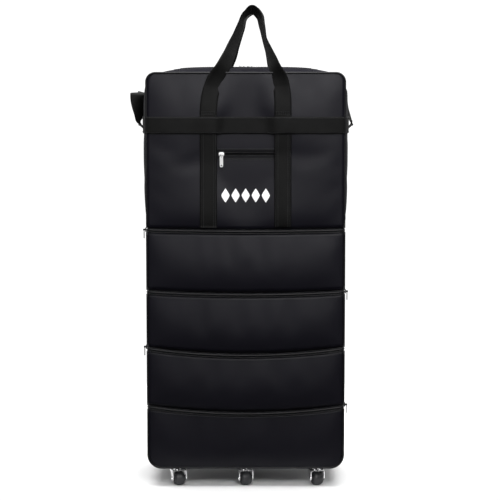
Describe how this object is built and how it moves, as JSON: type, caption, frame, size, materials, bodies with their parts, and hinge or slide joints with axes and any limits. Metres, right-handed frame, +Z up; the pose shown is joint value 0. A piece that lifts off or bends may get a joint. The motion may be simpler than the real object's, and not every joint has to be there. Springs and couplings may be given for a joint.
{
  "type": "rolling duffel bag",
  "caption": "Tall black expandable duffel bag on swivel casters: zipped top section with pocket and webbing handles over folding tiers.",
  "frame": {"origin": "on the floor, below the middle of the bag", "axes": "+Z up, front towards -Y, +X to the right seen from the front"},
  "size_m": [0.5042, 0.2777, 1.0898],
  "materials": {
    "fabric": "black coated Oxford weave, soft sheen",
    "webbing": "black ribbed polypropylene webbing",
    "zip_tape": "black zip tape with nylon coil",
    "zip_metal": "polished nickel plate",
    "chrome": "bright plated pressed steel",
    "wheel": "dark grey moulded rubber",
    "board": "stiff black sheet"
  },
  "bodies": {
    "base": {"base_board": "board", "bottom_panel": "fabric", "caster_plates": "chrome", "caster_rivets": "chrome", "tier_wall_1": "fabric"},
    "ring_1": {"tier_zip_1": "zip_tape", "tier_wall_2": "fabric"},
    "ring_2": {"tier_zip_2": "zip_tape", "tier_wall_3": "fabric"},
    "ring_3": {"tier_zip_3": "zip_tape", "tier_wall_4": "fabric"},
    "top_section": {"tier_zip_4": "zip_tape", "front_panel": "fabric", "back_panel": "fabric", "left_gusset": "fabric", "right_gusset": "fabric", "pocket_lining": "fabric", "pocket_zip": "zip_tape", "waist_band": "webbing", "webbing_strips": "webbing", "strap_ends": "webbing", "side_rings": "board", "ring_tabs": "webbing"},
    "front_flap": {"front_flap": "fabric"},
    "rear_flap": {"rear_flap": "fabric"},
    "front_handle": {"front_handle": "webbing"},
    "rear_handle": {"rear_handle": "webbing"},
    "shoulder_strap": {"shoulder_strap": "webbing"},
    "main_slider_left": {"main_slider_left": "zip_metal"},
    "main_pull_left": {"main_pull_left": "zip_metal"},
    "main_slider_right": {"main_slider_right": "zip_metal"},
    "main_pull_right": {"main_pull_right": "zip_metal"},
    "pocket_slider": {"pocket_slider": "zip_metal"},
    "pocket_pull": {"pocket_pull": "zip_metal"},
    "tier_slider_1": {"tier_slider_1": "zip_metal"},
    "tier_pull_1": {"tier_pull_1": "zip_metal"},
    "tier_slider_2": {"tier_slider_2": "zip_metal"},
    "tier_pull_2": {"tier_pull_2": "zip_metal"},
    "tier_slider_3": {"tier_slider_3": "zip_metal"},
    "tier_pull_3": {"tier_pull_3": "zip_metal"},
    "tier_slider_4": {"tier_slider_4": "zip_metal"},
    "tier_pull_4": {"tier_pull_4": "zip_metal"},
    "fork_1": {"caster_fork_1": "chrome", "caster_axle_1": "chrome"},
    "wheel_1": {"caster_wheel_1": "wheel"},
    "fork_2": {"caster_fork_2": "chrome", "caster_axle_2": "chrome"},
    "wheel_2": {"caster_wheel_2": "wheel"},
    "fork_3": {"caster_fork_3": "chrome", "caster_axle_3": "chrome"},
    "wheel_3": {"caster_wheel_3": "wheel"},
    "fork_4": {"caster_fork_4": "chrome", "caster_axle_4": "chrome"},
    "wheel_4": {"caster_wheel_4": "wheel"},
    "fork_5": {"caster_fork_5": "chrome", "caster_axle_5": "chrome"},
    "wheel_5": {"caster_wheel_5": "wheel"},
    "fork_6": {"caster_fork_6": "chrome", "caster_axle_6": "chrome"},
    "wheel_6": {"caster_wheel_6": "wheel"}
  },
  "joints": [
    {"name": "tier_fold_1", "type": "slide", "parent": "base", "child": "ring_1", "axis": [0, 0, 1], "range_m": [-0.113, 0], "deforming": ["tier_wall_1"]},
    {"name": "tier_fold_2", "type": "slide", "parent": "ring_1", "child": "ring_2", "axis": [0, 0, 1], "range_m": [-0.103, 0], "deforming": ["tier_wall_2"]},
    {"name": "tier_fold_3", "type": "slide", "parent": "ring_2", "child": "ring_3", "axis": [0, 0, 1], "range_m": [-0.097, 0], "deforming": ["tier_wall_3"]},
    {"name": "tier_fold_4", "type": "slide", "parent": "ring_3", "child": "top_section", "axis": [0, 0, 1], "range_m": [-0.11, 0], "deforming": ["tier_wall_4"]},
    {"name": "front_flap_fold", "type": "hinge", "parent": "top_section", "child": "front_flap", "pos_m": [0, -0.1198, 0.9348], "axis": [-1, 0, 0], "range_deg": [0, 80]},
    {"name": "rear_flap_fold", "type": "hinge", "parent": "top_section", "child": "rear_flap", "pos_m": [0, 0.1198, 0.9348], "axis": [1, 0, 0], "range_deg": [0, 80]},
    {"name": "front_handle_swing", "type": "hinge", "parent": "top_section", "child": "front_handle", "pos_m": [0, -0.1273, 0.848], "axis": [1, 0, 0], "range_deg": [0, 150]},
    {"name": "rear_handle_swing", "type": "hinge", "parent": "top_section", "child": "rear_handle", "pos_m": [0, 0.1273, 0.848], "axis": [-1, 0, 0], "range_deg": [0, 150]},
    {"name": "shoulder_strap_swing", "type": "hinge", "parent": "top_section", "child": "shoulder_strap", "pos_m": [-0.2395, 0.1398, 0.8902], "axis": [0.9936, 0, -0.1133], "range_deg": [0, 160]},
    {"name": "main_zip_left", "type": "slide", "parent": "top_section", "child": "main_slider_left", "axis": [-1, 0, 0], "range_m": [0, 0.138]},
    {"name": "main_pull_left_swing", "type": "hinge", "parent": "main_slider_left", "child": "main_pull_left", "pos_m": [-0.009, 0, 0.956], "axis": [-1, 0, 0], "range_deg": [0, 150]},
    {"name": "main_zip_right", "type": "slide", "parent": "top_section", "child": "main_slider_right", "axis": [1, 0, 0], "range_m": [0, 0.138]},
    {"name": "main_pull_right_swing", "type": "hinge", "parent": "main_slider_right", "child": "main_pull_right", "pos_m": [0.009, 0, 0.956], "axis": [-1, 0, 0], "range_deg": [0, 150]},
    {"name": "pocket_zip_run", "type": "slide", "parent": "top_section", "child": "pocket_slider", "axis": [1, 0, 0], "range_m": [0, 0.108]},
    {"name": "pocket_pull_swing", "type": "hinge", "parent": "pocket_slider", "child": "pocket_pull", "pos_m": [-0.054, -0.1316, 0.756], "axis": [-1, 0, 0], "range_deg": [0, 150]},
    {"name": "tier_zip_1_run", "type": "slide", "parent": "ring_1", "child": "tier_slider_1", "axis": [0, 1, 0], "range_m": [0, 0.19]},
    {"name": "tier_pull_1_swing", "type": "hinge", "parent": "tier_slider_1", "child": "tier_pull_1", "pos_m": [0.2294, -0.095, 0.1845], "axis": [0, -1, 0], "range_deg": [0, 150]},
    {"name": "tier_zip_2_run", "type": "slide", "parent": "ring_2", "child": "tier_slider_2", "axis": [0, 1, 0], "range_m": [0, 0.19]},
    {"name": "tier_pull_2_swing", "type": "hinge", "parent": "tier_slider_2", "child": "tier_pull_2", "pos_m": [-0.2294, -0.095, 0.3175], "axis": [0, 1, 0], "range_deg": [0, 150]},
    {"name": "tier_zip_3_run", "type": "slide", "parent": "ring_3", "child": "tier_slider_3", "axis": [0, 1, 0], "range_m": [0, 0.19]},
    {"name": "tier_pull_3_swing", "type": "hinge", "parent": "tier_slider_3", "child": "tier_pull_3", "pos_m": [0.2294, -0.095, 0.4445], "axis": [0, -1, 0], "range_deg": [0, 150]},
    {"name": "tier_zip_4_run", "type": "slide", "parent": "top_section", "child": "tier_slider_4", "axis": [0, 1, 0], "range_m": [0, 0.19]},
    {"name": "tier_pull_4_swing", "type": "hinge", "parent": "tier_slider_4", "child": "tier_pull_4", "pos_m": [-0.2294, -0.095, 0.5845], "axis": [0, 1, 0], "range_deg": [0, 150]},
    {"name": "caster_swivel_1", "type": "hinge", "parent": "base", "child": "fork_1", "pos_m": [-0.155, -0.095, 0.0367], "axis": [0, 0, 1], "continuous": true},
    {"name": "caster_swivel_2", "type": "hinge", "parent": "base", "child": "fork_2", "pos_m": [-0.003, -0.095, 0.0367], "axis": [0, 0, 1], "continuous": true},
    {"name": "caster_swivel_3", "type": "hinge", "parent": "base", "child": "fork_3", "pos_m": [0.16, -0.095, 0.0367], "axis": [0, 0, 1], "continuous": true},
    {"name": "caster_swivel_4", "type": "hinge", "parent": "base", "child": "fork_4", "pos_m": [-0.155, 0.095, 0.0367], "axis": [0, 0, 1], "continuous": true},
    {"name": "caster_swivel_5", "type": "hinge", "parent": "base", "child": "fork_5", "pos_m": [-0.003, 0.095, 0.0367], "axis": [0, 0, 1], "continuous": true},
    {"name": "caster_swivel_6", "type": "hinge", "parent": "base", "child": "fork_6", "pos_m": [0.16, 0.095, 0.0367], "axis": [0, 0, 1], "continuous": true},
    {"name": "wheel_spin_1", "type": "hinge", "parent": "fork_1", "child": "wheel_1", "pos_m": [-0.15252, -0.10365, 0.016], "axis": [0.9613, 0.2756, 0], "continuous": true},
    {"name": "wheel_spin_2", "type": "hinge", "parent": "fork_2", "child": "wheel_2", "pos_m": [-0.00052, -0.10365, 0.016], "axis": [0.9613, 0.2756, 0], "continuous": true},
    {"name": "wheel_spin_3", "type": "hinge", "parent": "fork_3", "child": "wheel_3", "pos_m": [0.16248, -0.10365, 0.016], "axis": [0.9613, 0.2756, 0], "continuous": true},
    {"name": "wheel_spin_4", "type": "hinge", "parent": "fork_4", "child": "wheel_4", "pos_m": [-0.15252, 0.08635, 0.016], "axis": [0.9613, 0.2756, 0], "continuous": true},
    {"name": "wheel_spin_5", "type": "hinge", "parent": "fork_5", "child": "wheel_5", "pos_m": [-0.00052, 0.08635, 0.016], "axis": [0.9613, 0.2756, 0], "continuous": true},
    {"name": "wheel_spin_6", "type": "hinge", "parent": "fork_6", "child": "wheel_6", "pos_m": [0.16248, 0.08635, 0.016], "axis": [0.9613, 0.2756, 0], "continuous": true}
  ]
}
